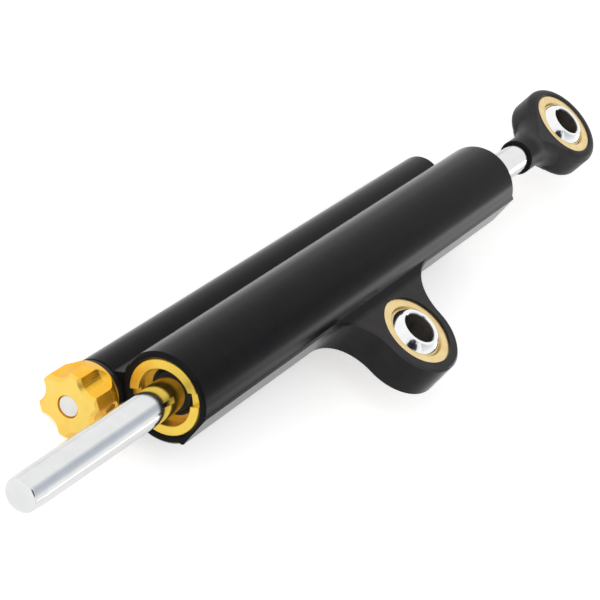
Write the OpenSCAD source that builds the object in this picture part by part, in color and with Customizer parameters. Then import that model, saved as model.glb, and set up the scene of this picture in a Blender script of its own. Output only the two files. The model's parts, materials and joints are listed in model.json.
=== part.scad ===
// Motorcycle steering damper: a hydraulic damper with a through rod, a valve tube
// with a clicker knob, a lug bearing on the body and a second bearing in the rod eye.
// Millimetres. The origin is the centre of the lug ball, +X runs along the rod to
// the eye and +Z is the axis of the bolt in the lug.

/* [Housing] */
// Length of the body between its two end faces
body_len = 150.5; // [145:0.5:165]
// Outside diameter of the cylinder tube
tube_d = 21; // [20.5:0.1:23]
// Diameter of the bore that the piston runs in
bore_d = 15; // [14:0.1:15.6]
// Diameter of the threaded counterbore for each gland
gland_bore_d = 17.5; // [16.6:0.1:18]
// Depth of that counterbore
gland_depth = 22; // [20:0.5:26]
// Outside diameter of the valve tube
side_d = 13.3; // [12.8:0.1:14.5]
// Diameter of the bore in the valve tube
side_bore_d = 10; // [9.6:0.1:10.4]
// Distance between the axes of the two tubes
tube_spacing = 17.3; // [17:0.1:18.5]
// Angle of the valve tube below the plane of the lug
side_angle = 45; // [35:1:60]
// Thickness of the web that joins the two tubes
web_w = 9; // [6:0.5:10]
// Chamfer on the ends of the tubes
end_chamfer = 0.5; // [0.2:0.1:0.8]
// Diameter of the two oil ports between the tubes
port_d = 2.5; // [1.5:0.1:3]
// Distance from the shoulder of the gland counterbore to the port
port_setback = 5; // [4:0.5:7]

/* [Lug] */
// Distance from the knob end of the body to the lug bolt
lug_from_near = 77; // [60:0.5:90]
// Distance from the rod axis to the lug bolt
lug_reach = 21.8; // [21:0.1:26]
// Wall of the lug round the race
lug_wall = 2.5; // [2:0.1:4]
// Radius of the hollow curves between the lug and the body
lug_fillet_r = 12; // [8:0.5:14]
// Thickness of the lug plate
lug_t = 10; // [9.6:0.1:12]
// Distance from the rod axis to the flat along the lug side
flat_reach = 9.8; // [9.6:0.1:10.2]
// Chamfer on the edges of the lug plate
lug_chamfer = 0.5; // [0.2:0.1:0.8]

/* [Bearings] */
// Diameter of the bolt that each ball takes
bolt_d = 8; // [6:0.1:8.6]
// Diameter of the ball
ball_d = 15.875; // [15:0.005:16.4]
// Width of the ball along the bolt
ball_w = 12; // [11:0.1:12.5]
// Wall of the bronze race at the middle of the ball
race_wall = 1.5625; // [1.2:0.0125:2]
// Width of the race
race_w = 9; // [8:0.1:9.4]
// Depth of the flared mouth of the race
race_mouth_t = 0.8; // [0.4:0.1:1]
// Radius gained over the flared mouth
race_flare = 0.23; // [0.1:0.01:0.4]
// Chamfer at the ends of the ball bore
ball_chamfer = 0.4; // [0.2:0.1:0.6]

/* [Rod] */
// Diameter of the chromed rod
rod_d = 8; // [7.6:0.1:8.4]
// Length of rod outside the body at the knob end
tip_out = 48.5; // [47.5:0.5:60]
// Length of rod between the body and the neck of the eye
far_out = 23.5; // [23:0.5:30]
// Diameter of the end of the rod that screws into the eye
rod_end_d = 6; // [5:0.1:6.4]
// Length of that end
rod_socket_len = 12; // [8:0.5:14]
// Radius on the edge of the free tip
tip_round = 0.8; // [0.3:0.1:1]
// Length of the tapered lead behind the tip
lead_len = 4; // [2:0.5:6]
// Diameter lost on the lead
lead_drop = 0.4; // [0.2:0.1:0.8]

/* [Rod eye] */
// Wall of the eye round the race
eye_wall = 2.95; // [2.6:0.05:4.5]
// Thickness of the eye along its bolt
eye_t = 10; // [10:0.1:12]
// Radius of the rounded rim of the eye
eye_round = 2.2; // [0.6:0.1:2.4]
// Chamfer at the mouths of the hole for the race
eye_mouth = 0.4; // [0.1:0.05:0.5]
// Diameter of the neck
neck_d = 9.8; // [9:0.1:9.9]
// Distance from the end of the neck to the eye bolt
neck_len = 25.7; // [23.5:0.1:30]
// Radius of the hollow curves between the neck and the eye
neck_fillet_r = 12; // [4:0.5:16]
// Chamfer on the end of the neck
neck_chamfer = 0.5; // [0.2:0.1:0.8]
// Turn of the eye about the rod, away from the lug plane
eye_turn = 5.5; // [0:0.5:90]

/* [Glands] */
// Thickness of the slotted gland nut
nut_t = 4; // [3.5:0.1:5]
// Depth of the nut below the end face of the body
nut_recess = 0.3; // [0.1:0.1:0.6]
// Inside diameter of the nut
nut_bore_d = 13; // [12.6:0.1:13.6]
// Chamfer on the edges of the nut
nut_chamfer = 0.15; // [0.1:0.05:0.5]
// Width of the two spanner slots
nut_slot_w = 3.1; // [2:0.1:4]
// Depth of the spanner slots
nut_slot_depth = 1.2; // [0.8:0.1:3.2]
// Turn of the slots from the line through the two tubes
nut_turn = 3; // [-45:0.5:45]
// Diameter of the spigot that carries the guide bush
spigot_d = 12; // [11.6:0.1:12.6]
// Length of the spigot, which also stops the piston
spigot_len = 12; // [11:0.5:12]
// Outside diameter of the wiper
wiper_d = 11.2; // [10.4:0.1:12]
// Thickness of the wiper
wiper_t = 3; // [2:0.1:3.5]
// Outside diameter of the rod seal
seal_d = 12.2; // [11:0.1:13]
// Thickness of the rod seal
seal_t = 3.4; // [2.5:0.1:4]
// Wall between the wiper and the rod seal
seal_land = 2; // [1:0.1:2.5]
// Outside diameter of the guide bush
bush_d = 10; // [9.6:0.1:10.4]
// Length of the guide bush
bush_len = 12; // [8:0.5:14]
// Thickness of the sealing ring round the head
head_cord = 1.2; // [0.8:0.1:1.4]
// Distance from the shoulder to that ring
head_ring_setback = 5; // [3:0.5:6]

/* [Piston] */
// Length of the piston
piston_len = 14; // [12:0.1:14]
// Distance from the knob end of the body to the middle of the piston at rest
piston_from_near = 64.25; // [64.25:0.25:66]
// Width of the sliding band
band_w = 6; // [4:0.5:7]
// Thickness of the sliding band
band_t = 0.8; // [0.6:0.1:1]
// Thickness of the ring that pushes the band out
band_cord = 0.8; // [0.6:0.1:1]
// Outside diameter of the two circlips
clip_d = 10; // [9.6:0.1:10.4]
// Thickness of a circlip
clip_t = 0.7; // [0.5:0.1:0.8]
// Depth of the circlip groove in the rod
clip_groove = 0.4; // [0.2:0.05:0.5]
// Depth of the recess in the piston for a circlip
clip_recess = 0.9; // [0.9:0.1:1.2]
// Width of the gap in a circlip
clip_gap = 5; // [3:0.5:6]

/* [Adjuster] */
// Diameter over the lobes of the knob
knob_d = 15.7; // [15:0.1:18]
// Distance from the body to the front of the knob
knob_reach = 10.2; // [9:0.1:12]
// Gap between the body and the knob
knob_gap = 0.5; // [0.4:0.05:0.8]
// Number of lobes
knob_lobes = 6; // [5:1:8]
// Diameter at the floor of the scallops
scallop_floor_d = 12.8; // [11:0.1:13.4]
// Radius of a scallop
scallop_r = 3.9; // [3:0.1:4.4]
// Flare of the scallops at the front of the knob
scallop_flare = 0.75; // [0.3:0.05:0.9]
// Length over which a scallop runs out at the back
scallop_run_out = 1.5; // [0.5:0.1:2.4]
// Chamfer on the front edges of the knob
knob_chamfer = 0.5; // [0.3:0.1:0.8]
// Diameter of the thin round collar at the foot of the knob
collar_d = 14.2; // [13.4:0.1:14.6]
// Thickness of that collar
collar_t = 0.4; // [0.2:0.1:1]
// Diameter of the hub behind the collar
hub_d = 10.4; // [9.6:0.1:11]
// Length of the hub
hub_len = 1.1; // [0.8:0.1:1.6]
// Outside diameter of the dust ring on the hub
dust_ring_d = 13.4; // [12.4:0.1:14]
// Gap between the dust ring and the body
dust_gap = 0.15; // [0.1:0.05:0.3]
// Length of the taper at the back of the lobes
lobe_taper = 2.4; // [1:0.1:3]
// Turn of the lobes about the knob axis
knob_turn = 36; // [0:0.5:60]
// Diameter of the spindle
spindle_d = 5.2; // [5:0.1:5.4]
// Depth of the spindle end below the front of the knob
spindle_recess = 0.3; // [0.1:0.1:1.2]
// Diameter of the grub screw that locks the knob
grub_d = 2.6; // [2:0.1:3]
// Distance from the body to the middle of the grub screw
grub_setback = 3.8; // [3.8:0.1:6]
// Length of the grub screw
grub_len = 2.8; // [2:0.1:2.8]
// Number of clicks in one turn
clicks = 24; // [12:1:24]
// Diameter of the click ball
click_ball_d = 1.6; // [1.2:0.1:1.6]
// Distance from the spindle axis to the click ball
click_pitch = 3.75; // [3.7:0.05:3.8]
// Depth of the hole for the click ball and its spring
click_depth = 6; // [5:0.5:6.5]
// Depth of the dimples under the knob
dimple_depth = 0.15; // [0.1:0.01:0.2]

/* [Valve] */
// Clear length between the port and the cartridge
cartridge_clear = 1.75; // [1:0.05:2]
// Clear length between the port and the valve seat
seat_clear = 4.75; // [3:0.25:6]
// Thickness of the valve seat
seat_t = 4; // [3:0.1:6]
// Diameter of the metering hole in the seat
orifice_d = 2; // [1.6:0.1:2.4]
// Diameter of the threaded shank of the needle
shank_d = 3.5; // [3:0.1:3.6]
// Length of shank inside the spindle
shank_len = 6; // [4:0.5:7]
// Diameter of the needle stem
stem_d = 2.4; // [2.4:0.1:2.8]
// Length of the needle taper
taper_len = 3; // [2:0.1:4]
// Diameter of the needle point
point_d = 0.8; // [0.6:0.1:1]
// Size of the needle hexagon over its corners
needle_hex_d = 4.6; // [4:0.1:4.8]
// Length of the guide that keeps the needle from turning
guide_len = 7.8; // [6:0.1:8]
// Outside diameter of that guide
guide_d = 7; // [6.6:0.1:7.2]
// Thickness of the spindle flange inside the cartridge
flange_t = 1.8; // [1.2:0.1:2.2]
// Travel of the needle each way in one turn of the knob
needle_travel = 0.5; // [0.3:0.05:0.6]

/* [Compensator] */
// Thickness of the end plug
plug_t = 6.3; // [5:0.1:7]
// Depth of the plug below the end face of the body
plug_recess = 0.4; // [0.2:0.1:0.8]
// Size of the hexagon socket over its corners
plug_hex_d = 4.6; // [4:0.1:5]
// Depth of the hexagon socket
plug_hex_depth = 3; // [2:0.1:3.5]
// Length of the compensator spring at rest
comp_spring_len = 9.4; // [9:0.1:10]
// Length of the compensator piston
comp_len = 6; // [5:0.1:6]
// Middle diameter of the compensator spring
comp_spring_d = 6.4; // [5.6:0.1:7]
// Thickness of the compensator spring wire
comp_wire_d = 0.9; // [0.6:0.05:1]
// Number of turns of the compensator spring
comp_turns = 4; // [3:1:4]

/* [Fits] */
// Radial clearance of parts that run on each other
run_gap = 0.04; // [0.02:0.01:0.08]
// Radial clearance of parts that are screwed or pushed together
slip_gap = 0.03; // [0.01:0.01:0.05]
// Radial clearance of the rod in the seal heads
head_clear = 0.15; // [0.1:0.01:0.25]
// Thickness of the small sealing rings on the valve parts
small_cord = 0.9; // [0.7:0.05:1]

/* [Hidden] */
$fn = 96;

black = [0.09, 0.09, 0.1];
gold = [0.8, 0.6, 0.27];
bronze = [0.85, 0.68, 0.4];
chrome = [0.82, 0.83, 0.85];
steel = [0.6, 0.61, 0.63];
rubber = [0.05, 0.05, 0.05];
polymer = [0.16, 0.35, 0.3];

// How far a cut runs past the face that it opens
cut = 1;

// Places along the rod and of the two tube axes
near_x = -lug_from_near;
far_x = near_x + body_len;
main_y = lug_reach;
side_y = main_y + tube_spacing * cos(side_angle);
side_z = -tube_spacing * sin(side_angle);
neck_x = far_x + far_out;
eye_x = neck_x + neck_len;
rod_r = rod_d / 2;

// Bearings: what the ball, the race and the walls round it add up to
ball_gap = run_gap;
race_d = ball_d + 2 * race_wall;
lug_r = race_d / 2 + lug_wall;
eye_r = race_d / 2 + eye_wall;

// Lug: the flat, and the centres of the two hollow curves, tangent to flat and lug
flat_y = main_y - flat_reach;
hollow_y = flat_y - lug_fillet_r;
hollow_x = sqrt(pow(lug_r + lug_fillet_r, 2) - pow(hollow_y, 2));

// Rod eye: how far the hollow curve runs into the rim, its centre from the eye bolt, and its share
// that lies in the rim
flare_sink = 0.12;
flare_end_r = eye_r - flare_sink;
flare_y = neck_d / 2 + neck_fillet_r;
flare_x = sqrt(pow(flare_end_r + neck_fillet_r, 2) - pow(flare_y, 2));
flare_share = flare_end_r / (flare_end_r + neck_fillet_r);

// Gland: depths below the end face of the body
head_z = nut_recess + nut_t;
head_end = gland_depth + spigot_len;
seal_z = head_z + wiper_t + seal_land;
head_ring_z = gland_depth - head_ring_setback;
lip_h = 0.7;
lip_t = 0.5;
seal_cup = 1.2;

// Piston: radii, and the place of each circlip from the middle of the piston
piston_r = bore_d / 2 - 2 * run_gap;
band_r = bore_d / 2 - run_gap;
band_groove_r = band_r - band_t - band_cord - slip_gap;
clip_z = piston_len / 2 - clip_recess + slip_gap;

// Valve tube: depths below the knob end of the body
side_r = side_bore_d / 2;
port_z = gland_depth + port_setback;
cartridge_z = 0.2;
cartridge_end = port_z - port_d / 2 - cartridge_clear;
guide_z = cartridge_end - guide_len;
flange_z = guide_z - flange_t - slip_gap;
flange_d = guide_d - 4 * run_gap;
thread_gap = 0.05;
shank_z = guide_z - shank_len;
needle_hex_z = guide_z + needle_travel + 0.3;
needle_hex_len = guide_len - 2 * needle_travel;
hex_gap = 0.06;
seat_z = port_z + port_d / 2 + seat_clear;
spindle_ring_z = 4.6;
cartridge_ring_z = click_depth + 2.5;
knob_back = -knob_gap - hub_len;
knob_foot = knob_back - collar_t;
scallop_lip = 0.15;
spindle_front = spindle_recess - knob_reach;
spindle_chamfer = 0.3;

// Needle: the taper starts where a closed needle just clears the metering hole
taper_slope = (stem_d - point_d) / 2 / taper_len;
closed_gap = run_gap;
taper_z = seat_z - (stem_d - orifice_d + 2 * closed_gap) / 2 / taper_slope - needle_travel;

// Compensator: depths below the eye end of the body
plug_end = plug_recess + plug_t;
comp_z = plug_end + comp_spring_len;
ring_groove_w = 1.4;
spring_seat = 0.05;

// Click spring
click_wire_d = 0.25;
click_spring_d = 1.1;
click_turns = 5;
click_z = -knob_gap + click_ball_d / 2 + run_gap;
click_hole_end = cartridge_z + click_depth;
rings_per_turn = 8;
wire_sides = 6;

// Placing: local z is the way into the body, from the named face
module on_main(x) { translate([x, main_y, 0]) rotate([0, 90, 0]) children(); }
module on_side(x) { translate([x, side_y, side_z]) rotate([0, 90, 0]) children(); }
module main_far() { translate([far_x, main_y, 0]) rotate([0, -90, 0]) children(); }
module side_far() { translate([far_x, side_y, side_z]) rotate([0, -90, 0]) children(); }
module gland(far) {
  if (far) main_far() children();
  else on_main(near_x) children();
}
module in_eye() { translate([eye_x, main_y, 0]) rotate([eye_turn, 0, 0]) children(); }

// A stretch of a turned section, between two radii and two heights
module turn(r0, r1, z0, z1) { translate([r0, z0]) square([r1 - r0, z1 - z0]); }

// A round sealing ring that fills a bore of the given radius
module seal_ring(bore_r, cord, gap) {
  rotate_extrude() translate([bore_r - gap - cord / 2, 0]) circle(d = cord);
}
// The groove for that ring, as a section
module ring_groove(bore_r, cord, gap, z) {
  turn(bore_r - gap - cord - slip_gap, bore_r + cut, z - cord * 0.75, z + cord * 0.75);
}

// A cylinder with a chamfer at both ends
module chamfered(d, len, c) {
  r = d / 2;
  rotate_extrude()
    polygon([[0, 0], [r - c, 0], [r, c], [r, len - c], [r - c, len], [0, len]]);
}

// Wire wound round z, with a straight end of one wire diameter at each seat
function spring_path(d, wire, len, turns) =
  let (n = turns * rings_per_turn, rise = len - 2 * wire)
  concat(
    [[d / 2, 0, 0, 0]],
    [for (i = [0:n]) let (a = 360 * i / rings_per_turn)
      [d / 2 * cos(a), d / 2 * sin(a), wire + rise * i / n, a]],
    [[d / 2 * cos(360 * turns), d / 2 * sin(360 * turns), len, 360 * turns]]
  );
function spot(p) = [p[0], p[1], p[2]];
function unit(v) = v / norm(v);
function spring_gap(path, wire) =
  min([for (i = [0:len(path) - 1]) for (j = [i + rings_per_turn / 2:1:len(path) - 1])
    norm(spot(path[i]) - spot(path[j]))]) - wire;
module spring(d, wire, length, turns) {
  path = spring_path(d, wire, length, turns);
  last = len(path) - 1;
  echo(spring_gap = spring_gap(path, wire));
  rings = [for (i = [0:last])
    let (
      along = unit(spot(path[min(i + 1, last)]) - spot(path[max(i - 1, 0)])),
      out = [cos(path[i][3]), sin(path[i][3]), 0],
      side = unit(cross(along, out))
    )
    for (s = [0:wire_sides - 1])
      let (a = 360 * s / wire_sides)
      spot(path[i]) + wire / 2 * (cos(a) * out + sin(a) * side)];
  walls = [for (i = [0:last - 1]) for (s = [0:wire_sides - 1])
    let (a = i * wire_sides + s, b = i * wire_sides + (s + 1) % wire_sides)
    each [[a, a + wire_sides, b], [b, a + wire_sides, b + wire_sides]]];
  first_cap = [for (s = [1:wire_sides - 2]) [0, s, s + 1]];
  top = last * wire_sides;
  last_cap = [for (s = [1:wire_sides - 2]) [top, top + s + 1, top + s]];
  polyhedron(rings, concat(walls, first_cap, last_cap));
}

// Section of the body without the round tubes: the web and the stub of the lug plate
module web_section() {
  translate([main_y, 0]) rotate(-side_angle) translate([0, -web_w / 2])
    square([tube_spacing, web_w]);
}
module stub_section() {
  h = lug_t / 2;
  c = lug_chamfer;
  polygon([[main_y, -h], [flat_y + c, -h], [flat_y, c - h],
    [flat_y, h - c], [flat_y + c, h], [main_y, h]]);
}
module along_body(inset) {
  translate([near_x + inset, 0, 0]) rotate([90, 0, 90])
    linear_extrude(body_len - 2 * inset) children();
}

module lug_plate() {
  c = lug_chamfer;
  difference() {
    union() {
      translate([0, 0, -lug_t / 2]) chamfered(2 * lug_r, lug_t, c);
      linear_extrude(lug_t, center = true)
        polygon([[-hollow_x, main_y], [hollow_x, main_y], [hollow_x, hollow_y],
          [0, 0], [-hollow_x, hollow_y]]);
    }
    for (s = [-1, 1]) translate([s * hollow_x, hollow_y, 0]) hollow_cutter();
  }
}
// The cutter of a hollow curve flares at both faces and so chamfers the edge
module hollow_cutter() {
  h = lug_t / 2;
  c = lug_chamfer;
  r = lug_fillet_r;
  rotate_extrude()
    polygon([[0, -h - c], [r + 2 * c, -h - c], [r, c - h],
      [r, h - c], [r + 2 * c, h + c], [0, h + c]]);
}

module tube_mouth(d) {
  translate([0, 0, -cut]) cylinder(d = d, h = gland_depth + cut);
  translate([0, 0, -slip_gap]) cylinder(d1 = d + 2 * end_chamfer, d2 = d, h = end_chamfer + slip_gap);
}
module oil_port(x) {
  translate([x, main_y, 0]) rotate([-side_angle - 90, 0, 0])
    cylinder(d = port_d, h = tube_spacing);
}

module housing() color(black) difference() {
  union() {
    difference() {
      union() {
        on_main(near_x) chamfered(tube_d, body_len, end_chamfer);
        on_side(near_x) chamfered(side_d, body_len, end_chamfer);
        along_body(end_chamfer) web_section();
        along_body(0) stub_section();
      }
      translate([near_x - cut, flat_y - tube_d, -tube_d / 2]) cube([body_len + 2 * cut, tube_d, tube_d]);
    }
    lug_plate();
  }
  on_main(near_x - cut) cylinder(d = bore_d, h = body_len + 2 * cut);
  gland(false) tube_mouth(gland_bore_d);
  gland(true) tube_mouth(gland_bore_d);
  on_side(near_x - cut) cylinder(d = side_bore_d, h = body_len + 2 * cut);
  oil_port(near_x + port_z);
  oil_port(far_x - port_z);
  cylinder(d = race_d, h = lug_t + 2 * cut, center = true);
}

// Bearings
module race() {
  outer = ball_d / 2 + ball_gap;
  throat = sqrt(pow(outer, 2) - pow(race_w / 2 - race_mouth_t, 2));
  difference() {
    cylinder(d = race_d - 2 * slip_gap, h = race_w, center = true);
    sphere(r = outer);
    for (s = [0, 1]) mirror([0, 0, s]) translate([0, 0, race_w / 2 - race_mouth_t])
      cylinder(r1 = throat, r2 = throat + race_flare, h = race_mouth_t);
  }
}
module ball() {
  difference() {
    intersection() {
      sphere(d = ball_d);
      cylinder(d = ball_d + cut, h = ball_w, center = true);
    }
    cylinder(d = bolt_d, h = ball_w + 2 * cut, center = true);
    for (s = [0, 1]) mirror([0, 0, s]) translate([0, 0, ball_w / 2 - ball_chamfer])
      cylinder(d1 = bolt_d, d2 = bolt_d + 4 * ball_chamfer, h = 2 * ball_chamfer);
  }
}
module lug_race() color(bronze) race();
module lug_ball() color(chrome) ball();
module eye_race() color(bronze) in_eye() race();
module eye_ball() color(chrome) in_eye() ball();

// Gland pieces, the same at both ends of the body
module gland_nut(far) color(gold) gland(far) difference() {
  translate([0, 0, nut_recess]) difference() {
    chamfered(gland_bore_d - 2 * slip_gap, nut_t, nut_chamfer);
    translate([0, 0, -cut]) cylinder(d = nut_bore_d, h = nut_t + 2 * cut);
    cylinder(d1 = nut_bore_d + 2 * nut_chamfer, d2 = nut_bore_d, h = nut_chamfer);
  }
  rotate(far ? 90 + side_angle + nut_turn : 90 - side_angle - nut_turn)
    translate([-gland_bore_d, -nut_slot_w / 2, nut_recess - cut])
      cube([2 * gland_bore_d, nut_slot_w, nut_slot_depth + cut]);
}
module seal_head(far) color(gold) gland(far) rotate_extrude() difference() {
  union() {
    turn(rod_r + head_clear, gland_bore_d / 2 - slip_gap, head_z, gland_depth);
    turn(rod_r + head_clear, spigot_d / 2, gland_depth - cut, head_end);
  }
  turn(0, wiper_d / 2, head_z - cut, head_z + wiper_t);
  turn(0, seal_d / 2, seal_z, seal_z + seal_t);
  turn(0, bush_d / 2, head_end - bush_len, head_end + cut);
  ring_groove(gland_bore_d / 2, head_cord, slip_gap, head_ring_z);
}
module wiper(far) color(rubber) gland(far) {
  r0 = rod_r + run_gap;
  r1 = wiper_d / 2 - slip_gap;
  z1 = head_z + wiper_t - slip_gap;
  rotate_extrude()
    polygon([[r0, head_z - lip_h], [r0 + lip_t, head_z - lip_h], [r0 + 2 * lip_t, head_z],
      [r1, head_z], [r1, z1], [r0 + lip_t, z1], [r0 + lip_t, head_z + lip_t], [r0, head_z]]);
}
module rod_seal(far) color(rubber) gland(far) {
  r0 = rod_r + run_gap;
  r1 = seal_d / 2 - slip_gap;
  z0 = seal_z + slip_gap;
  z1 = seal_z + seal_t - slip_gap;
  rotate_extrude()
    polygon([[r0, z0], [r1, z0], [r1, z1], [r1 - lip_t, z1], [(r0 + r1) / 2, z1 - seal_cup],
      [r0 + lip_t, z1], [r0, z1]]);
}
module guide_bush(far) color(bronze) gland(far) rotate_extrude()
  turn(rod_r + run_gap, bush_d / 2 - slip_gap, head_end - bush_len + slip_gap, head_end);
module head_o_ring(far) color(rubber) gland(far) translate([0, 0, head_ring_z])
  seal_ring(gland_bore_d / 2, head_cord, slip_gap);

module near_gland_nut() gland_nut(false);
module far_gland_nut() gland_nut(true);
module near_seal_head() seal_head(false);
module far_seal_head() seal_head(true);
module near_wiper() wiper(false);
module far_wiper() wiper(true);
module near_rod_seal() rod_seal(false);
module far_rod_seal() rod_seal(true);
module near_guide_bush() guide_bush(false);
module far_guide_bush() guide_bush(true);
module near_head_o_ring() head_o_ring(false);
module far_head_o_ring() head_o_ring(true);

// Piston and rod
module at_piston() { on_main(near_x + piston_from_near) children(); }
module piston() color(steel) at_piston() rotate_extrude() difference() {
  turn(rod_r + run_gap, piston_r, -piston_len / 2, piston_len / 2);
  turn(band_groove_r, bore_d, -band_w / 2 - slip_gap, band_w / 2 + slip_gap);
  for (s = [0, 1]) mirror([0, s])
    turn(0, clip_d / 2 + head_clear, piston_len / 2 - clip_recess, piston_len / 2 + cut);
}
module piston_band() color(polymer) at_piston() rotate_extrude()
  turn(band_r - band_t, band_r, -band_w / 2, band_w / 2);
module piston_o_ring() color(rubber) at_piston()
  seal_ring(band_r - band_t, band_cord - slip_gap, slip_gap / 2);
module piston_circlips() color(steel) at_piston() for (s = [0, 1]) mirror([0, 0, s])
  translate([0, 0, clip_z]) difference() {
    cylinder(d = clip_d, h = clip_t);
    translate([0, 0, -cut]) cylinder(r = rod_r - clip_groove + slip_gap, h = clip_t + 2 * cut);
    translate([0, -clip_gap / 2, -cut]) cube([clip_d, clip_gap, clip_t + 2 * cut]);
  }
module piston_rod() color(chrome) on_main(near_x - tip_out) {
  shoulder = tip_out + body_len + far_out - slip_gap;
  tip_r = rod_r - lead_drop / 2;
  rotate_extrude() difference() {
    union() {
      polygon([[0, tip_round], [tip_r, tip_round], [rod_r, lead_len], [rod_r, shoulder], [0, shoulder]]);
      turn(0, rod_end_d / 2, shoulder - cut, shoulder + rod_socket_len);
      turn(0, tip_r - tip_round, 0, tip_round);
      intersection() {
        translate([tip_r - tip_round, tip_round]) circle(r = tip_round);
        turn(0, tip_r, 0, tip_round);
      }
    }
    translate([0, tip_out + piston_from_near]) for (s = [0, 1]) mirror([0, s])
      turn(rod_r - clip_groove, rod_r + cut, clip_z - slip_gap, clip_z + clip_t + slip_gap);
  }
}

// Rod eye: a ring with a rounded rim, on a short neck that flares into it and takes the rod
module rim_section() {
  h = eye_t / 2;
  turn(0, eye_r - eye_round, -h, h);
  turn(0, eye_r, eye_round - h, h - eye_round);
  for (s = [-1, 1]) translate([eye_r - eye_round, s * (h - eye_round)]) circle(r = eye_round);
}
module neck_section() {
  r = neck_d / 2;
  start = neck_len - flare_x;
  wide = flare_y * flare_share;
  difference() {
    polygon([[0, 0], [r - neck_chamfer, 0], [r, neck_chamfer], [r, start], [wide, start],
      [wide, neck_len], [0, neck_len]]);
    translate([flare_y, start]) circle(r = neck_fillet_r);
  }
}
module neck() intersection() {
  on_main(neck_x) rotate_extrude() neck_section();
  in_eye() cube([2 * (neck_len + cut), 2 * eye_r, (neck_d + eye_t) / 2], center = true);
}
module race_bore() rotate_extrude() {
  r = race_d / 2;
  h = eye_t / 2;
  wide = r + eye_mouth + cut;
  polygon([[0, -h - cut], [wide, -h - cut], [r, eye_mouth - h], [r, h - eye_mouth],
    [wide, h + cut], [0, h + cut]]);
}
module rod_eye() color(black) difference() {
  union() {
    in_eye() rotate_extrude() rim_section();
    neck();
  }
  in_eye() race_bore();
  on_main(neck_x - cut) cylinder(r = rod_end_d / 2 + slip_gap, h = rod_socket_len + cut);
}

// Adjuster: local z is zero at the end face of the body and negative outside
module knob_scallop() {
  front = -knob_reach;
  end_r = scallop_r - (collar_d - scallop_floor_d) / 2 + scallop_lip;
  translate([scallop_floor_d / 2 + scallop_r, 0, 0]) rotate_extrude()
    polygon([[0, front - cut], [scallop_r + scallop_flare + cut, front - cut],
      [scallop_r, front + scallop_flare], [scallop_r, knob_foot - scallop_run_out],
      [end_r, knob_foot], [0, knob_foot]]);
}
module knob_angle(i) { rotate(knob_turn + (i + 0.5) * 360 / knob_lobes) children(); }
module grub_place() { knob_angle(3) translate([0, 0, -grub_setback]) rotate([0, 90, 0]) children(); }
module adjuster_knob() color(gold) on_side(near_x) difference() {
  lobe_r = knob_d / 2;
  collar_r = collar_d / 2;
  hub_r = hub_d / 2;
  rotate_extrude()
    polygon([[0, -knob_reach], [lobe_r - knob_chamfer, -knob_reach], [lobe_r, knob_chamfer - knob_reach],
      [lobe_r, knob_foot - lobe_taper], [collar_r, knob_foot], [collar_r, knob_back],
      [hub_r, knob_back], [hub_r, -knob_gap], [0, -knob_gap]]);
  for (i = [0:knob_lobes - 1]) knob_angle(i) knob_scallop();
  translate([0, 0, -knob_reach - cut]) cylinder(r = spindle_d / 2 + slip_gap, h = knob_reach + 2 * cut);
  grub_place() cylinder(r = grub_d / 2 + slip_gap, h = knob_d);
  for (i = [0:clicks - 1]) rotate(360 * i / clicks)
    translate([click_pitch, 0, click_ball_d / 2 - dimple_depth - knob_gap]) sphere(d = click_ball_d);
}
module knob_dust_ring() color(rubber) on_side(near_x) rotate_extrude()
  turn(hub_d / 2 + slip_gap, dust_ring_d / 2, knob_back + slip_gap, -dust_gap);
module knob_grub_screw() color(steel) on_side(near_x) grub_place()
  translate([0, 0, spindle_d / 2 + slip_gap]) difference() {
    cylinder(d = grub_d, h = grub_len);
    translate([0, 0, grub_len / 2]) cylinder(d = grub_d / 2, h = grub_len, $fn = 6);
  }
module adjuster_spindle() color(chrome) on_side(near_x) {
  r = spindle_d / 2;
  c = spindle_chamfer;
  f = spindle_front;
  flange_end = flange_z + flange_t;
  rotate_extrude() difference() {
    union() {
      polygon([[0, f], [r - c, f], [r, f + c], [r, flange_end], [0, flange_end]]);
      turn(0, flange_d / 2, flange_z, flange_end);
    }
    turn(0, shank_d / 2 + thread_gap, shank_z - 2 * needle_travel, flange_end + cut);
    ring_groove(r + run_gap, small_cord, run_gap, spindle_ring_z);
  }
}
module spindle_o_ring() color(rubber) on_side(near_x) translate([0, 0, spindle_ring_z])
  seal_ring(spindle_d / 2 + run_gap, small_cord, run_gap);
module click_place() { on_side(near_x) rotate(knob_turn) translate([click_pitch, 0, 0]) children(); }
module adjuster_cartridge() color(gold) difference() {
  on_side(near_x) rotate_extrude() difference() {
    turn(spindle_d / 2 + run_gap, side_r - slip_gap, cartridge_z, cartridge_end);
    turn(0, guide_d / 2, flange_z - slip_gap, cartridge_end + cut);
    ring_groove(side_r, small_cord, slip_gap, cartridge_ring_z);
  }
  click_place() cylinder(r = click_ball_d / 2 + slip_gap, h = click_hole_end);
}
module cartridge_o_ring() color(rubber) on_side(near_x) translate([0, 0, cartridge_ring_z])
  seal_ring(side_r, small_cord, slip_gap);
module click_ball() color(chrome) click_place() translate([0, 0, click_z]) sphere(d = click_ball_d);
module click_spring() color(steel) click_place() {
  start = click_z + click_ball_d / 2 + spring_seat;
  translate([0, 0, start])
    spring(click_spring_d, click_wire_d, click_hole_end - spring_seat - start, click_turns);
}

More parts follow.
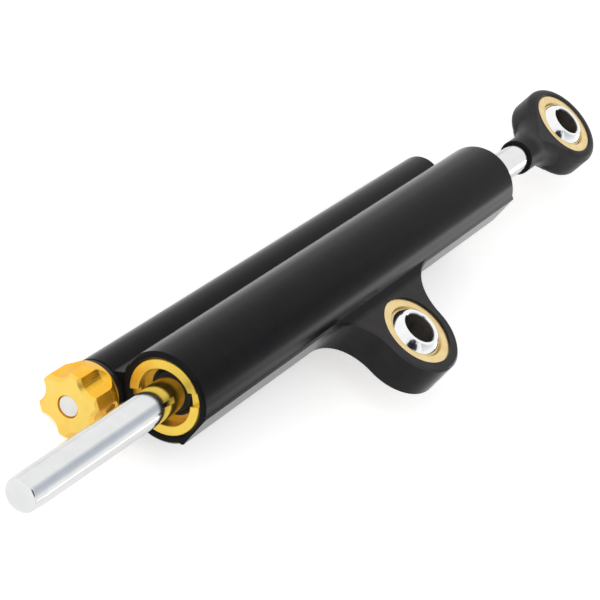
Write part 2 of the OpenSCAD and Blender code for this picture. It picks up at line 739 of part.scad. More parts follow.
// Valve
module needle_guide() color(bronze) on_side(near_x) difference() {
  translate([0, 0, guide_z]) cylinder(d = guide_d - 2 * slip_gap, h = guide_len);
  translate([0, 0, guide_z - cut])
    cylinder(d = needle_hex_d + 2 * hex_gap, h = guide_len + 2 * cut, $fn = 6);
}
module metering_needle() color(steel) on_side(near_x) {
  hex_end = needle_hex_z + needle_hex_len;
  translate([0, 0, shank_z]) cylinder(d = shank_d, h = needle_hex_z - shank_z);
  translate([0, 0, needle_hex_z]) cylinder(d = needle_hex_d, h = needle_hex_len, $fn = 6);
  translate([0, 0, hex_end]) cylinder(d = stem_d, h = taper_z - hex_end);
  translate([0, 0, taper_z]) cylinder(d1 = stem_d, d2 = point_d, h = taper_len);
}
module valve_seat() color(bronze) on_side(near_x) rotate_extrude() difference() {
  turn(orifice_d / 2, side_r - slip_gap, seat_z, seat_z + seat_t);
  polygon([[0, seat_z + seat_t / 2], [orifice_d / 2, seat_z + seat_t / 2],
    [orifice_d, seat_z + seat_t + slip_gap], [0, seat_z + seat_t + slip_gap]]);
}

// Compensator and end plug
module compensator_piston() color(steel) side_far() rotate_extrude() difference() {
  turn(0, side_r - 2 * run_gap, comp_z, comp_z + comp_len);
  ring_groove(side_r, small_cord, run_gap, comp_z + comp_len / 2);
}
module compensator_o_ring() color(rubber) side_far() translate([0, 0, comp_z + comp_len / 2])
  seal_ring(side_r, small_cord, run_gap);
module compensator_spring() color(steel) side_far() translate([0, 0, plug_end + spring_seat])
  spring(comp_spring_d, comp_wire_d, comp_spring_len - 2 * spring_seat, comp_turns);
module end_plug() color(black) side_far() difference() {
  rotate_extrude() difference() {
    turn(0, side_r - slip_gap, plug_recess, plug_end);
    ring_groove(side_r, small_cord, slip_gap, plug_end - ring_groove_w);
  }
  cylinder(d = plug_hex_d, h = plug_recess + plug_hex_depth, $fn = 6);
}
module end_plug_o_ring() color(rubber) side_far() translate([0, 0, plug_end - ring_groove_w])
  seal_ring(side_r, small_cord, slip_gap);

housing();
lug_race();
lug_ball();
near_gland_nut();
far_gland_nut();
near_seal_head();
far_seal_head();
near_wiper();
far_wiper();
near_rod_seal();
far_rod_seal();
near_guide_bush();
far_guide_bush();
near_head_o_ring();
far_head_o_ring();
piston();
piston_band();
piston_o_ring();
piston_circlips();
piston_rod();
rod_eye();
eye_race();
eye_ball();
adjuster_knob();
knob_dust_ring();
knob_grub_screw();
adjuster_spindle();
spindle_o_ring();
adjuster_cartridge();
cartridge_o_ring();
click_ball();
click_spring();
needle_guide();
metering_needle();
valve_seat();
compensator_piston();
compensator_o_ring();
compensator_spring();
end_plug();
end_plug_o_ring();
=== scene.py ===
# %% [markdown]
# This lesson dresses a motorcycle steering damper that was built in CAD: a black body
# of two tubes, a chromed rod with an eye, gold nuts and a gold knob. The CAD frame
# holds every size, so we only bring the camera, the studio and the finishes.
# First we load the frame and keep its box.

# %% Load the frame
import json
import math

import bpy
from mathutils import Matrix, Vector


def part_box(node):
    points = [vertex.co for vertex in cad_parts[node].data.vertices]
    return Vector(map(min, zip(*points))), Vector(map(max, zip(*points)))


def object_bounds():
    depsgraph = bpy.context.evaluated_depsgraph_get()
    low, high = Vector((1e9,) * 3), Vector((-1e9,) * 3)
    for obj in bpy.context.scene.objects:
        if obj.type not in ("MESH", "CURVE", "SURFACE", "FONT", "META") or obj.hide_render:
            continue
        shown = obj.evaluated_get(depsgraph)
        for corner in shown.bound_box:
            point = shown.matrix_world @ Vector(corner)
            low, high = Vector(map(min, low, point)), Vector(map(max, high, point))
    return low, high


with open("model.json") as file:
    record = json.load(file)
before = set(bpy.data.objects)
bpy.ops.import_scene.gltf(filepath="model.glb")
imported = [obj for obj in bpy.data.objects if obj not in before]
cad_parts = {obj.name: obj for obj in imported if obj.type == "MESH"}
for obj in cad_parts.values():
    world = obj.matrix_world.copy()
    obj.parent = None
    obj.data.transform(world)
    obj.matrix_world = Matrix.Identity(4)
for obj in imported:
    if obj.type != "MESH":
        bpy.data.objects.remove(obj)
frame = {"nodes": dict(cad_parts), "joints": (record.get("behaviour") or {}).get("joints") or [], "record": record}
cad_box = [list(corner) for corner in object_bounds()]
nodes = frame["nodes"]
MM = 0.001
print("loaded", len(nodes), "nodes, box from", cad_box[0], "to", cad_box[1])

# %% [markdown]
# A turned piece shows fine rings round the axis that it was turned about, so the
# finishes need those axes. We could type them in again, but they are already in the
# frame: the middle of the rod, the middle of the spindle, and the two bolt holes.

# %% Find the axes of the turned pieces
def middle_of(node_name):
    low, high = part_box(node_name)
    return (low + high) / 2


rod_axis = middle_of("piston_rod")
knob_axis = middle_of("adjuster_spindle")
lug_centre = middle_of("lug_ball")
eye_centre = middle_of("eye_ball")
eye_bolt = next(Vector(j["axis"]) for j in frame["joints"] if j["name"] == "eye_swivel")
eye_turn = math.atan2(-eye_bolt.y, eye_bolt.z)
print("eye turned by", round(math.degrees(eye_turn), 2), "degrees about the rod")

# %% [markdown]
# The damper is seen from the knob end, from above, with the rod running down to the
# left. A camera can be aimed with a Track To constraint, but that leaves its roll to
# chance. Here three directions make its matrix, so the roll is exact. The place and
# the lens come from fitting a pinhole camera to edges that can be measured.

# %% Set the camera
CAMERA_PLACE = Vector((-0.3845, -0.0305, 0.27845))
CAMERA_LOOK = Vector((0.7899, 0.1152, -0.6023)).normalized()
CAMERA_UP = Vector((0.3442, 0.7295, 0.5911))
SENSOR = 36.0
LENS = 119.77
CLIP_START = 0.01

camera_right = CAMERA_LOOK.cross(CAMERA_UP).normalized()
camera_up = camera_right.cross(CAMERA_LOOK)
camera_data = bpy.data.cameras.new("camera")
camera_data.sensor_width = SENSOR
camera_data.lens = LENS
camera_data.clip_start = CLIP_START
camera = bpy.data.objects.new("camera", camera_data)
bpy.context.scene.collection.objects.link(camera)
turn = Matrix((camera_right, camera_up, -CAMERA_LOOK)).transposed()
camera.matrix_world = Matrix.Translation(CAMERA_PLACE) @ turn.to_4x4()
bpy.context.scene.camera = camera
bpy.context.scene.view_settings.view_transform = "Standard"
print("camera", round(CAMERA_PLACE.length, 3), "m from the lug bolt")

# %% [markdown]
# Materials here are small node graphs. One helper makes a node, sets its properties
# and its inputs, and links an input when it is given another node's output. The others
# wrap nodes that come back often: a change of range, a value along one axis, a ramp of
# colours. They keep the finishes short enough to read.

# %% Make the node helpers
def add_node(tree, kind, inputs=None, **settings):
    made = tree.nodes.new(kind)
    for key, value in settings.items():
        setattr(made, key, value)
    for key, value in (inputs or {}).items():
        if isinstance(value, bpy.types.NodeSocket):
            tree.links.new(value, made.inputs[key])
        else:
            made.inputs[key].default_value = value
    return made


def remap(tree, value, from_low, from_high, to_low=0.0, to_high=1.0):
    limits = {"From Min": from_low, "From Max": from_high, "To Min": to_low, "To Max": to_high}
    return add_node(tree, "ShaderNodeMapRange", {"Value": value, **limits}).outputs["Result"]


def axis_value(tree, source, axis):
    vector = add_node(tree, "ShaderNodeTexCoord").outputs[source]
    return add_node(tree, "ShaderNodeSeparateXYZ", {0: vector}).outputs[axis]


def graded(tree, value, stops):
    ramp = add_node(tree, "ShaderNodeValToRGB", {"Fac": value})
    while len(ramp.color_ramp.elements) < len(stops):
        ramp.color_ramp.elements.new(1.0)
    for stop, (place, colour) in zip(ramp.color_ramp.elements, stops):
        stop.position = place
        stop.color = (*colour, 1)
    return ramp.outputs["Color"]


print("node helpers ready")

# %% [markdown]
# A studio can show one thing to the camera and another to a reflection. The Light Path
# node says which kind of ray is asking. A ray that comes off polished metal is of the
# glossy kind and one that comes through glass of the transmission kind, and both should
# see the same studio, so they are taken together.

# %% Helper for rays
WHITE = (1, 1, 1, 1)


def ray_kinds(tree):
    path = add_node(tree, "ShaderNodeLightPath").outputs
    mirror_ray = add_node(tree, "ShaderNodeMath",
                          {0: path["Is Glossy Ray"], 1: path["Is Transmission Ray"]}, operation="MAXIMUM")
    return path["Is Camera Ray"], mirror_ray.outputs[0]


print("ray helper ready")

# %% [markdown]
# The damper lies on a white table under soft light. A plain white floor renders grey
# where little light falls, so part of its white comes from a glow that only the camera
# and mirror-like reflections see. The rest is lit by the lamps, and so takes shadows.

# %% Make the floor
FLOOR_HALF = 3.0
FLOOR_GLOW = 0.52
FLOOR_MIRRORED = 0.30
FLOOR_COLOUR = (0.80, 0.80, 0.80, 1)
CORNERS = ((-1, -1), (1, -1), (1, 1), (-1, 1))


def flat_sheet(name, corners):
    mesh = bpy.data.meshes.new(name)
    mesh.from_pydata(corners, [], [(0, 1, 2, 3)])
    sheet = bpy.data.objects.new(name, mesh)
    bpy.context.scene.collection.objects.link(sheet)
    return sheet


floor_z = cad_box[0][2]
floor = flat_sheet("studio_floor", [(x * FLOOR_HALF, y * FLOOR_HALF, floor_z) for x, y in CORNERS])
table_white = bpy.data.materials.new("table_white")
table_white.use_nodes = True
tree = table_white.node_tree
tree.nodes.clear()
camera_ray, mirror_ray = ray_kinds(tree)
by_mirror = add_node(tree, "ShaderNodeMath", {0: mirror_ray, 1: FLOOR_MIRRORED}, operation="MULTIPLY")
strength = add_node(tree, "ShaderNodeMath", {0: camera_ray, 1: FLOOR_GLOW, 2: by_mirror.outputs[0]},
                    operation="MULTIPLY_ADD")
matt = add_node(tree, "ShaderNodeBsdfDiffuse", {"Color": FLOOR_COLOUR})
glow = add_node(tree, "ShaderNodeEmission", {"Color": WHITE, "Strength": strength.outputs[0]})
both = add_node(tree, "ShaderNodeAddShader", {0: matt.outputs[0], 1: glow.outputs[0]})
add_node(tree, "ShaderNodeOutputMaterial", {"Surface": both.outputs[0]})
floor.data.materials.append(table_white)
print("floor at", round(floor_z / MM, 2), "mm")

# %% [markdown]
# Polished metal only shows what stands round it, and a product studio is a tent of white
# cloth. It could be modelled as a dome, but the world does the same without a mesh: white
# where the camera or a reflection looks, and dimmer where it lights.

# %% Light the world
TENT_LIGHT = 0.48
TENT_GLOSS = 1.06
TENT_PICTURED = 1.0


def cloth(tree, strength):
    return add_node(tree, "ShaderNodeBackground", {"Color": WHITE, "Strength": strength}).outputs[0]


world = bpy.data.worlds.new("white_tent")
bpy.context.scene.world = world
world.use_nodes = True
tree = world.node_tree
tree.nodes.clear()
camera_ray, mirror_ray = ray_kinds(tree)
unseen = add_node(tree, "ShaderNodeMixShader",
                  {0: mirror_ray, 1: cloth(tree, TENT_LIGHT), 2: cloth(tree, TENT_GLOSS)})
tent = add_node(tree, "ShaderNodeMixShader",
                {0: camera_ray, 1: unseen.outputs[0], 2: cloth(tree, TENT_PICTURED)})
add_node(tree, "ShaderNodeOutputWorld", {"Surface": tent.outputs[0]})
print("tent lights at", TENT_LIGHT, "and mirrors at", TENT_GLOSS)

# %% [markdown]
# Two soft lamps shape the damper. Point lamps would draw hard shadows, so both are areas.
# A large one behind the camera lays the faint shadow beside the lug and behind the far
# end. A long low one stands far off beyond the eye, where only the lower side of the tube
# mirrors it.

# %% Hang the softboxes
FRONT_PLACE, FRONT_AIM = (-0.72, 0.09, 0.56), (0.0, 0.01, 0.0)
FRONT_SIZE, FRONT_WATTS = (0.9, 0.9), 6.8
STRIP_PLACE, STRIP_AIM = (1.44, -0.85, 0.12), (1.44, 0.0, 0.12)
STRIP_SIZE, STRIP_WATTS = (0.92, 0.24), 1.9


def softbox(name, place, aim, size, watts, mirrored):
    data = bpy.data.lights.new(name, "AREA")
    data.shape = "RECTANGLE"
    data.size, data.size_y = size
    data.energy = watts
    lamp = bpy.data.objects.new(name, data)
    bpy.context.scene.collection.objects.link(lamp)
    lamp.location = place
    lamp.rotation_euler = (Vector(aim) - Vector(place)).to_track_quat("-Z", "Y").to_euler()
    lamp.visible_camera = False
    lamp.visible_glossy = mirrored


softbox("front_box", FRONT_PLACE, FRONT_AIM, FRONT_SIZE, FRONT_WATTS, False)
softbox("low_strip", STRIP_PLACE, STRIP_AIM, STRIP_SIZE, STRIP_WATTS, True)
print("softboxes hung, of", FRONT_WATTS, "and", STRIP_WATTS, "watts")

# %% [markdown]
# Metal that mirrors nothing but white cloth looks like paper, so a photographer hangs grey
# and black card just outside the picture. Real card would also take light away. Ours glow
# by themselves and are hidden from the camera, from diffuse light and from shadows, so
# they change the reflections and nothing else.

# %% Helper for cards
def mirror_card(name, corners, strength=1.0):
    card = flat_sheet(name, corners)
    card.visible_camera = False
    card.visible_diffuse = False
    card.visible_shadow = False
    paper = bpy.data.materials.new(name)
    paper.use_nodes = True
    tree = paper.node_tree
    tree.nodes.clear()
    glow = add_node(tree, "ShaderNodeEmission", {"Strength": strength})
    add_node(tree, "ShaderNodeOutputMaterial", {"Surface": glow.outputs[0]})
    card.data.materials.append(paper)
    return tree, glow.inputs["Color"]


print("card helper ready")

# %% [markdown]
# A long grey card beside the rod gives its chrome the cool band that makes it read as
# metal. A dark plate would draw a hard stripe. This card lies parallel to the rod, so the
# band runs straight along it, and it fades towards white at its long edges, so the band
# has no hard lines.

# %% Hang the grey card
CARD_DISTANCE = 0.80
CARD_FROM, CARD_TO = math.radians(96), math.radians(160)
CARD_START, CARD_END = -0.1, 1.02
CARD_FADE = ((0.0, (1.0, 1.0, 1.0)), (0.35, (0.58, 0.62, 0.69)),
             (0.65, (0.62, 0.66, 0.72)), (1.0, (0.95, 0.96, 0.98)))


def beside_rod(x, angle):
    return (x, rod_axis.y + CARD_DISTANCE * math.cos(angle), CARD_DISTANCE * math.sin(angle))


tree, card_colour = mirror_card("grey_card", [beside_rod(CARD_START, CARD_FROM),
                                              beside_rod(CARD_END, CARD_FROM),
                                              beside_rod(CARD_END, CARD_TO),
                                              beside_rod(CARD_START, CARD_TO)])
across = remap(tree, axis_value(tree, "Object", "Z"),
               CARD_DISTANCE * math.sin(CARD_FROM), CARD_DISTANCE * math.sin(CARD_TO))
tree.links.new(graded(tree, across, CARD_FADE), card_colour)
print("grey card hung", CARD_DISTANCE, "m from the rod")

# %% [markdown]
# A round mirror needs one dark spot to look round, and a black flag over the lug gives
# the balls theirs. A clean disc would look painted on. So a noise first moves the points
# at which a round gradient is read, which leaves the spot ragged and soft.

# %% Hang the dark flag
FLAG_CENTRE = Vector((-0.56, -0.43, 0.56))
FLAG_HALF_WIDTH, FLAG_HALF_HEIGHT = 0.475, 0.425
FLAG_FADE = ((0.0, (1.0, 1.0, 1.0)), (0.30, (0.90, 0.90, 0.92)),
             (0.42, (0.06, 0.065, 0.085)), (0.75, (0.02, 0.02, 0.025)))
NOISE_MIDDLE = (0.5, 0.5, 0.5)

to_lug = -FLAG_CENTRE.normalized()
flag_right = to_lug.cross(Vector((0, 0, 1))).normalized() * FLAG_HALF_WIDTH
flag_up = flag_right.cross(to_lug).normalized() * FLAG_HALF_HEIGHT
tree, flag_colour = mirror_card("dark_flag", [FLAG_CENTRE + flag_right * i + flag_up * j
                                              for i, j in CORNERS])
place = add_node(tree, "ShaderNodeMapping",
                 {"Vector": add_node(tree, "ShaderNodeTexCoord").outputs["Object"],
                  "Location": FLAG_CENTRE, "Scale": (FLAG_HALF_WIDTH,) * 3},
                 vector_type="TEXTURE").outputs[0]
ragged = add_node(tree, "ShaderNodeTexNoise", {"Vector": place, "Scale": 2.5, "Detail": 2.0})
wavy = add_node(tree, "ShaderNodeVectorMath", {0: ragged.outputs["Color"], 1: NOISE_MIDDLE},
                operation="SUBTRACT")
moved = add_node(tree, "ShaderNodeVectorMath", {0: place, 1: wavy.outputs[0]}, operation="ADD")
round_spot = add_node(tree, "ShaderNodeTexGradient", {"Vector": moved.outputs[0]},
                      gradient_type="SPHERICAL")
tree.links.new(graded(tree, round_spot.outputs["Fac"], FLAG_FADE), flag_colour)
print("dark flag hung", round(FLAG_CENTRE.length, 2), "m from the lug bolt")

# %% [markdown]
# The lower side of the black tube carries a soft grey band, the mirrored table. A lamp
# there would light the lug as well, so a bright sheet on the table does it. It is dim
# beside the body and full a few centimetres out, so the band begins softly.

# %% Lay the bounce sheet
SHEET_X = (0.065, 0.70)
SHEET_Y = (-0.035, -0.85)
SHEET_FULL_Y = -0.075
SHEET_LIFT = 0.2 * MM
SHEET_GLOW = 2.4
SHEET_FADE = ((0.0, (0.16, 0.16, 0.16)), (1.0, (1.0, 1.0, 1.0)))

sheet_corners = [(SHEET_X[i], SHEET_Y[j], floor_z + SHEET_LIFT)
                 for i, j in ((0, 0), (1, 0), (1, 1), (0, 1))]
tree, sheet_colour = mirror_card("bounce_sheet", sheet_corners, SHEET_GLOW)
away = remap(tree, axis_value(tree, "Object", "Y"), SHEET_Y[0], SHEET_FULL_Y)
tree.links.new(graded(tree, away, SHEET_FADE), sheet_colour)
print("bounce sheet laid from", round(SHEET_X[0] / MM), "mm along the rod")

# %% [markdown]
# Every finish starts from one Principled shader. What is even over the surface is set on
# its sockets. Colour, roughness and bump come from textures in object space, which here
# is the CAD frame in metres, so a noise of scale 1000 has grains of about a millimetre.

# %% Make the finish helpers
finishes = {}


def start_finish(name, **sockets):
    made = bpy.data.materials.new(name)
    made.use_nodes = True
    tree = made.node_tree
    shader = tree.nodes["Principled BSDF"]
    for key, value in sockets.items():
        shader.inputs[key.replace("_", " ")].default_value = value
    finishes[name] = made
    return tree, shader.inputs


def grains(tree, per_metre, detail=3.0, stretch=None):
    place = add_node(tree, "ShaderNodeTexCoord").outputs["Object"]
    if stretch:
        place = add_node(tree, "ShaderNodeMapping", {"Vector": place, "Scale": stretch}).outputs[0]
    return add_node(tree, "ShaderNodeTexNoise",
                    {"Vector": place, "Scale": per_metre, "Detail": detail}).outputs["Fac"]


def about_axis(tree, centre, tilt):
    place = add_node(tree, "ShaderNodeTexCoord").outputs["Object"]
    return add_node(tree, "ShaderNodeMapping",
                    {"Vector": place, "Location": centre, "Rotation": (tilt, 0, 0)},
                    vector_type="TEXTURE").outputs[0]


print("finish helpers ready")

# %% [markdown]
# A noise stays near its middle, so it is stretched before use: into two tones of colour,
# or into a range of roughness. As bump it tips the normals. A machined edge is broken by
# a tenth of a millimetre or two, and the Bevel node rounds the shading there without any
# change to the mesh. The Mix node has sockets for each kind of value, so the ones for
# colours are picked by number.

# %% Make the surface helpers
NOISE_LOW, NOISE_HIGH = 0.3, 0.7
MIX_FACTOR, MIX_A, MIX_B, MIX_RESULT = 0, 6, 7, 2
BEVEL_SAMPLES = 4


def spread(tree, noise, low, high):
    return remap(tree, noise, NOISE_LOW, NOISE_HIGH, low, high)


def two_tones(tree, noise, dark, light):
    return graded(tree, noise, ((NOISE_LOW, dark), (NOISE_HIGH, light)))


def mixed(tree, share, first, second):
    return add_node(tree, "ShaderNodeMix", {MIX_FACTOR: share, MIX_A: first, MIX_B: second},
                    data_type="RGBA").outputs[MIX_RESULT]


def raise_by(tree, height, distance, edge=None):
    inputs = {"Height": height, "Distance": distance, "Strength": 1.0}
    if edge:
        inputs["Normal"] = add_node(tree, "ShaderNodeBevel", {"Radius": edge},
                                    samples=BEVEL_SAMPLES).outputs[0]
    return add_node(tree, "ShaderNodeBump", inputs).outputs["Normal"]


print("surface helpers ready")

# %% [markdown]
# The body and the eye are aluminium, anodised black. The tubes were turned first, so their
# skin is deep and satin. The lug and the eye were only blasted, and a blasted skin
# scatters more light, so they are a shade paler. Tube and lug are one piece, and so are
# the eye and the turned end of its neck. Two materials on chosen faces could part them,
# but a place along one axis does it with a soft change. The walls of the lug are painted
# darker than its top, by the way a face looks, as painted shade. The pits are
# far below a tenth of a millimetre, so they are bump.

# %% Recipe for black anodising
SMOOTH_TONES = ((0.0055, 0.0055, 0.0058), (0.0085, 0.0080, 0.0082))
BLASTED_TONES = ((0.033, 0.031, 0.032), (0.044, 0.041, 0.042))
SKIN_CLOUDS, SKIN_GRAIN, SKIN_PITS = 220, 1400, 9000
SKIN_IOR, SEAL_IOR = 1.10, 1.11
ROUGH_RANGE = 0.05
PIT_DEPTH = 0.003 * MM
BLACK_EDGE = 0.20 * MM
WALL_LOOKS, TOP_LOOKS = 0.2, 0.7


def anodised_black(name, rough, axis, blasted_at, smooth_at, wall_shade=0.0):
    tree, sockets = start_finish(name, IOR=SKIN_IOR, Coat_Weight=1.0, Coat_IOR=SEAL_IOR,
                                 Coat_Roughness=rough)
    clouds = grains(tree, SKIN_CLOUDS, detail=4.0)
    is_smooth = remap(tree, axis_value(tree, "Object", axis), blasted_at, smooth_at)
    # Painted shade: faces that don't look up, such as the lug's walls, take part of the darker tone.
    if wall_shade:
        shaded_wall = remap(tree, axis_value(tree, "Normal", "Z"), WALL_LOOKS, TOP_LOOKS, wall_shade, 0.0)
        is_smooth = add_node(tree, "ShaderNodeMath", {0: is_smooth, 1: shaded_wall},
                             operation="MAXIMUM").outputs[0]
    skin = mixed(tree, is_smooth, two_tones(tree, clouds, *BLASTED_TONES),
                 two_tones(tree, clouds, *SMOOTH_TONES))
    roughness = spread(tree, grains(tree, SKIN_GRAIN), rough, rough + ROUGH_RANGE)
    pits = raise_by(tree, grains(tree, SKIN_PITS, detail=2.0), PIT_DEPTH, edge=BLACK_EDGE)
    tree.links.new(skin, sockets["Base Color"])
    tree.links.new(roughness, sockets["Roughness"])
    tree.links.new(pits, sockets["Normal"])


print("black recipe ready")

# %% [markdown]
# The body changes its skin across the rod, where the lug meets the milled flat. The eye
# changes it along the rod, from the flare to the collar of its neck. The eye is blasted
# nearly all over, so it is also the rougher of the two, and blurs what it mirrors.

# %% Make the black finishes
BODY_ROUGH, EYE_ROUGH = 0.21, 0.34
LUG_ENDS, FLAT_STARTS = 9.5 * MM, 11.0 * MM
# Share of the darker tone painted on the lug's walls as shade.
WALL_SHADE_SHARE = 0.55
neck_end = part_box("rod_eye")[0].x
FLARE_STARTS, COLLAR_ENDS = neck_end + 8.0 * MM, neck_end + 5.0 * MM

anodised_black("black_body", BODY_ROUGH, "Y", LUG_ENDS, FLAT_STARTS, wall_shade=WALL_SHADE_SHARE)
anodised_black("black_eye", EYE_ROUGH, "X", FLARE_STARTS, COLLAR_ENDS)
print("black finishes made, the body smooth from", round(FLAT_STARTS / MM, 1), "mm off the lug bolt")

# %% [markdown]
# Nuts, heads, races and knob come off a lathe, and the tool leaves rings round the turning
# axis. An anisotropic shader could hint at them. A wave texture in rings about that axis
# draws them, and moves the roughness and the bump a little, so one recipe serves every
# axis. At scale 1 that texture runs through 20 radians in a metre, which turns the
# distance between two rings into its scale. The flanks of the knob stand close to each
# other and to the body, and gold lit by gold turns orange. So faces that look away from
# the axis are painted a deeper tone, which is painted shade for that light.

# %% Recipe for turned metal
WAVE_RADIANS = 20.0
TURNED_CLOUDS = 300
RING_HEIGHT = 0.0015 * MM
TURNED_EDGE = 0.10 * MM
FLANK_FACING, FRONT_FACING = 0.4, 0.9


def turned(name, centre, tilt, axis, tones, rough, ring, metal=1.0, flank_shade=None):
    tree, sockets = start_finish(name, Metallic=metal)
    rings = add_node(tree, "ShaderNodeTexWave",
                     {"Vector": about_axis(tree, centre, tilt),
                      "Scale": 2 * math.pi / (WAVE_RADIANS * ring), "Distortion": 1.5, "Detail": 2.0},
                     wave_type="RINGS", rings_direction=axis).outputs["Fac"]
    clouds = grains(tree, TURNED_CLOUDS)
    skin = two_tones(tree, clouds, *tones)
    # Painted shade: faces that look away from the axis take the deeper flank tones.
    if flank_shade:
        facing = add_node(tree, "ShaderNodeMath", {0: axis_value(tree, "Normal", axis)},
                          operation="ABSOLUTE").outputs[0]
        is_front = remap(tree, facing, FLANK_FACING, FRONT_FACING)
        skin = mixed(tree, is_front, two_tones(tree, clouds, *flank_shade), skin)
    tree.links.new(skin, sockets["Base Color"])
    tree.links.new(spread(tree, rings, *rough), sockets["Roughness"])
    tree.links.new(raise_by(tree, rings, RING_HEIGHT, edge=TURNED_EDGE), sockets["Normal"])


print("turned recipe ready")

# %% [markdown]
# Nuts and knob are aluminium with a gold anodised skin. The skin is a clear layer with dye
# in it, not gold metal, so their shader isn't fully metallic. The seal heads sit deep in
# the tubes, so their gold is painted darker, as painted shade, and their shader is
# fully metallic.

# %% Make the gold finishes
GOLD_RING = 0.25 * MM
NUT_TONES = ((0.90, 0.62, 0.088), (0.96, 0.69, 0.12))
NUT_ROUGH, NUT_METAL = (0.28, 0.38), 0.9
KNOB_TONES = ((0.92, 0.64, 0.135), (0.96, 0.69, 0.17))
# Painted shade for the knob's flanks, deeper than its front.
KNOB_FLANK_SHADE = ((0.94, 0.50, 0.030), (0.98, 0.56, 0.055))
KNOB_ROUGH, KNOB_METAL = (0.26, 0.36), 0.85
# Painted shade: the deep seal heads get a darker gold.
HEAD_SHADE_TONES = ((0.60, 0.40, 0.12), (0.68, 0.46, 0.15))
HEAD_ROUGH = (0.26, 0.36)

turned("gold_nuts", rod_axis, 0, "X", NUT_TONES, NUT_ROUGH, GOLD_RING, metal=NUT_METAL)
turned("gold_knob", knob_axis, 0, "X", KNOB_TONES, KNOB_ROUGH, GOLD_RING, metal=KNOB_METAL,
       flank_shade=KNOB_FLANK_SHADE)
turned("gold_heads_shaded", rod_axis, 0, "X", HEAD_SHADE_TONES, HEAD_ROUGH, GOLD_RING)
print("gold finishes made")

# %% [markdown]
# The races are bronze, faced on a lathe, so their rings run about the bolt holes. The eye
# is turned a little about the rod, and its race with it. The piston, the needle, the
# springs and the small screw are plain steel and mostly hidden, so one axis will do.

# %% Make the bronze and steel finishes
BRONZE_RING = STEEL_RING = 0.2 * MM
BRONZE_TONES = ((0.77, 0.58, 0.27), (0.85, 0.67, 0.35))
BRONZE_ROUGH = (0.22, 0.32)
STEEL_TONES = ((0.58, 0.58, 0.59), (0.66, 0.66, 0.67))
STEEL_ROUGH = (0.22, 0.34)

turned("bronze_lug", lug_centre, 0, "Z", BRONZE_TONES, BRONZE_ROUGH, BRONZE_RING)
turned("bronze_eye", eye_centre, eye_turn, "Z", BRONZE_TONES, BRONZE_ROUGH, BRONZE_RING)
turned("steel_turned", knob_axis, 0, "X", STEEL_TONES, STEEL_ROUGH, STEEL_RING)
print("turned finishes made,", len(finishes), "finishes so far")

# %% [markdown]
# The rod and the spindle are ground, chromed and polished. A perfect mirror would be
# simpler, but the grinding leaves hair lines round the rod and a faint cloud in the gloss.
# A noise that is squeezed along the rod gives the hair lines.

# %% Make the chrome
CHROME_TONES = ((0.73, 0.735, 0.74), (0.78, 0.78, 0.78))
CHROME_ROUGH = (0.10, 0.14)
CHROME_CLOUDS, HAIR_LINES = 260, 30
HAIR_SQUEEZE = (260, 1, 1)
HAIR_HEIGHT = 0.0002 * MM
CHROME_EDGE = 0.10 * MM

tree, sockets = start_finish("chrome", Metallic=1.0)
tree.links.new(two_tones(tree, grains(tree, CHROME_CLOUDS), *CHROME_TONES), sockets["Base Color"])
hair_lines = grains(tree, HAIR_LINES, detail=2.0, stretch=HAIR_SQUEEZE)
tree.links.new(spread(tree, hair_lines, *CHROME_ROUGH), sockets["Roughness"])
tree.links.new(raise_by(tree, hair_lines, HAIR_HEIGHT, edge=CHROME_EDGE), sockets["Normal"])
print("chrome made")

# %% [markdown]
# A ball is chromed outside, and its bolt hole is painted dark, as painted shade in the hole.
# One mesh carries both. Two materials on chosen faces could part them, but the mesh stays
# as it is, so the distance from the bolt axis tells them apart: the skin turns from black
# to bright just outside the radius of the hole.

# %% Make the balls
BORE_EDGE, BORE_CHANGE = 4.3 * MM, 0.15 * MM
# Painted shade inside the bolt hole.
BORE_SHADE_TONES = ((0.036, 0.031, 0.026), (0.058, 0.050, 0.043))
BALL_TONES = ((0.84, 0.845, 0.85), (0.90, 0.90, 0.90))
BALL_ROUGH = (0.06, 0.10)
BALL_CLOUDS = 400
BALL_HEIGHT = 0.0003 * MM
BALL_EDGE = 0.15 * MM
ACROSS_BOLT = (1, 1, 0)


def bored_ball(name, centre, tilt):
    tree, sockets = start_finish(name)
    flat = add_node(tree, "ShaderNodeVectorMath", {0: about_axis(tree, centre, tilt), 1: ACROSS_BOLT},
                    operation="MULTIPLY").outputs[0]
    reach = add_node(tree, "ShaderNodeVectorMath", {0: flat}, operation="LENGTH").outputs["Value"]
    outside = remap(tree, reach, BORE_EDGE - BORE_CHANGE, BORE_EDGE)
    cloud = grains(tree, BALL_CLOUDS)
    # Inside the hole the skin takes the dark painted shade.
    skin = mixed(tree, outside, two_tones(tree, cloud, *BORE_SHADE_TONES), two_tones(tree, cloud, *BALL_TONES))
    tree.links.new(outside, sockets["Metallic"])
    tree.links.new(skin, sockets["Base Color"])
    tree.links.new(spread(tree, cloud, *BALL_ROUGH), sockets["Roughness"])
    tree.links.new(raise_by(tree, cloud, BALL_HEIGHT, edge=BALL_EDGE), sockets["Normal"])


bored_ball("ball_lug", lug_centre, 0)
bored_ball("ball_eye", eye_centre, eye_turn)
print("balls made, black inside", round(BORE_EDGE / MM, 2), "mm")

# %% [markdown]
# Wipers, seals and rings are black nitrile rubber, matt with a fine moulded grain. The
# guide band of the piston is a filled polymer, a little smoother. A plain dark colour
# would do from afar, but close up the grain is what tells rubber from paint.

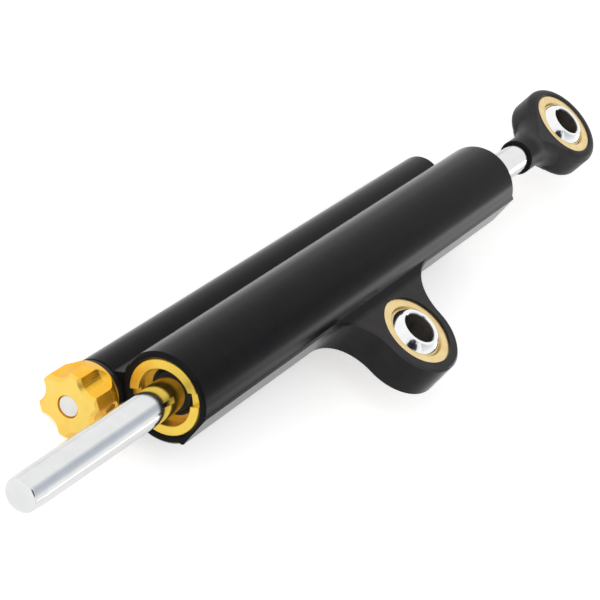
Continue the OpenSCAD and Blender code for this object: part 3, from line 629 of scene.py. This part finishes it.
# %% Make the soft finishes
SOFT_SPECULAR = 0.4
SOFT_CLOUDS, SOFT_PATCHES = 500, 2500
SOFT_HEIGHT = 0.01 * MM
RUBBER_TONES = ((0.008, 0.008, 0.009), (0.016, 0.016, 0.016))
RUBBER_ROUGH, RUBBER_GRAIN = (0.50, 0.65), 6000
POLYMER_TONES = ((0.07, 0.17, 0.14), (0.10, 0.22, 0.18))
POLYMER_ROUGH, POLYMER_GRAIN = (0.35, 0.48), 3000


def moulded(name, tones, rough, grain):
    tree, sockets = start_finish(name, Specular_IOR_Level=SOFT_SPECULAR)
    tree.links.new(two_tones(tree, grains(tree, SOFT_CLOUDS), *tones), sockets["Base Color"])
    tree.links.new(spread(tree, grains(tree, SOFT_PATCHES), *rough), sockets["Roughness"])
    tree.links.new(raise_by(tree, grains(tree, grain), SOFT_HEIGHT), sockets["Normal"])


moulded("rubber", RUBBER_TONES, RUBBER_ROUGH, RUBBER_GRAIN)
moulded("slide_polymer", POLYMER_TONES, POLYMER_ROUGH, POLYMER_GRAIN)
print("soft finishes made,", len(finishes), "finishes in all")

# %% [markdown]
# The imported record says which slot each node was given. Most slots have one finish. Where
# the pieces of a slot turn about different axes, or look different, the piece itself
# decides. The finish goes into the object's material slot, and its mesh isn't touched.

# %% Give every node its finish
FINISH_OF_SLOT = {"black_anodised": "black_body", "gold_anodised": "gold_nuts", "bronze": "bronze_lug",
                  "chrome": "chrome", "steel": "steel_turned", "rubber": "rubber",
                  "slide_polymer": "slide_polymer"}
FINISH_OF_NODE = {"adjuster_knob": "gold_knob", "adjuster_cartridge": "gold_knob", "rod_eye": "black_eye",
                  "near_seal_head": "gold_heads_shaded", "far_seal_head": "gold_heads_shaded",
                  "eye_race": "bronze_eye", "lug_ball": "ball_lug", "eye_ball": "ball_eye"}
for part in frame["record"]["subparts"]:
    finish = FINISH_OF_NODE.get(part["node"], FINISH_OF_SLOT[part["material_slot"]])
    worn = nodes[part["node"]].data.materials
    worn.clear()
    worn.append(finishes[finish])
